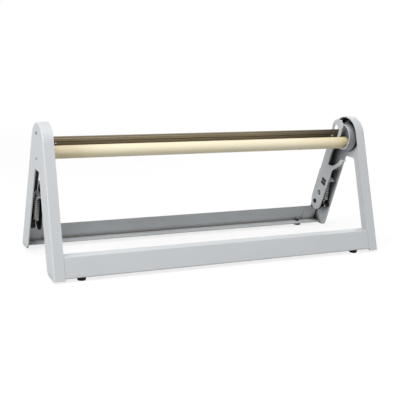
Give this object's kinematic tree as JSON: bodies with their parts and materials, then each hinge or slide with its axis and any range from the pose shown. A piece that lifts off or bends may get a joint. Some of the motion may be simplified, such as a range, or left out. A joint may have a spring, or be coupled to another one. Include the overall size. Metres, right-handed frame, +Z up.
{
  "type": "gift wrap paper cutter",
  "caption": "Counter-top roll paper cutter: A-shaped end frames carry a wooden roller in open cups, and sprung arms press a blade bar against it.",
  "frame": {"origin": "centre of the footprint on the table top, below the roller", "axes": "+X along the roller to the right as seen from the front, -Y towards the user, +Z up"},
  "size_m": [0.7, 0.2536, 0.271],
  "materials": {
    "grey_enamel": "light grey powder coat, satin",
    "dark_bar": "dark bronze-grey enamel, satin",
    "blade_steel": "ground spring steel, dark reflections",
    "cup_zinc": "zinc-plated pressed steel",
    "screw_zinc": "zinc plated",
    "screw_black": "black oxide",
    "spring_wire": "bright drawn wire",
    "roller_wood": "sanded pale hardwood, unlacquered",
    "ferrule_steel": "turned, plain",
    "foot_rubber": "black moulded rubber",
    "backing_nylon": "black nylon"
  },
  "bodies": {
    "frame": {"left_end_frame": "grey_enamel", "right_end_frame": "grey_enamel", "front_base_bar": "grey_enamel", "rear_base_bar": "grey_enamel", "front_left_splice_plate": "grey_enamel", "front_right_splice_plate": "grey_enamel", "rear_left_splice_plate": "grey_enamel", "rear_right_splice_plate": "grey_enamel", "front_left_foot": "foot_rubber", "front_right_foot": "foot_rubber", "rear_left_foot": "foot_rubber", "rear_right_foot": "foot_rubber", "foot_nuts": "screw_black", "left_pivot_screw": "screw_black", "right_pivot_screw": "screw_black", "foot_screws": "screw_zinc", "cup_upper_screws": "screw_zinc", "cup_lower_screws": "screw_zinc", "left_pivot_post": "screw_zinc", "right_pivot_post": "screw_zinc", "left_spring_anchor": "screw_zinc", "right_spring_anchor": "screw_zinc", "left_roller_cup": "cup_zinc", "right_roller_cup": "cup_zinc", "left_spring": "spring_wire", "right_spring": "spring_wire"},
    "cutter_frame": {"left_arm": "grey_enamel", "right_arm": "grey_enamel", "left_arm_backing": "backing_nylon", "right_arm_backing": "backing_nylon", "cutter_bar": "dark_bar", "cutter_blade": "blade_steel", "blade_clamp_strip": "blade_steel", "blade_screws": "screw_zinc", "blade_nuts": "screw_zinc", "bar_end_screws": "screw_zinc", "bar_end_nuts": "screw_zinc", "arm_rivets": "screw_zinc"},
    "roller": {"roller_dowel": "roller_wood", "left_roller_ferrule": "ferrule_steel", "right_roller_ferrule": "ferrule_steel"}
  },
  "joints": [
    {"name": "cutter_swing", "type": "hinge", "parent": "frame", "child": "cutter_frame", "pos_m": [0, 0.08582, 0.0625], "axis": [-1, 0, 0], "range_deg": [0, 17], "stiffness_Nm_per_rad": 0.47, "springref_deg": -51.57, "deforming": ["left_spring", "right_spring"]},
    {"name": "roller_spin", "type": "hinge", "parent": "frame", "child": "roller", "pos_m": [0, 0.005, 0.2128], "axis": [1, 0, 0], "continuous": true}
  ]
}
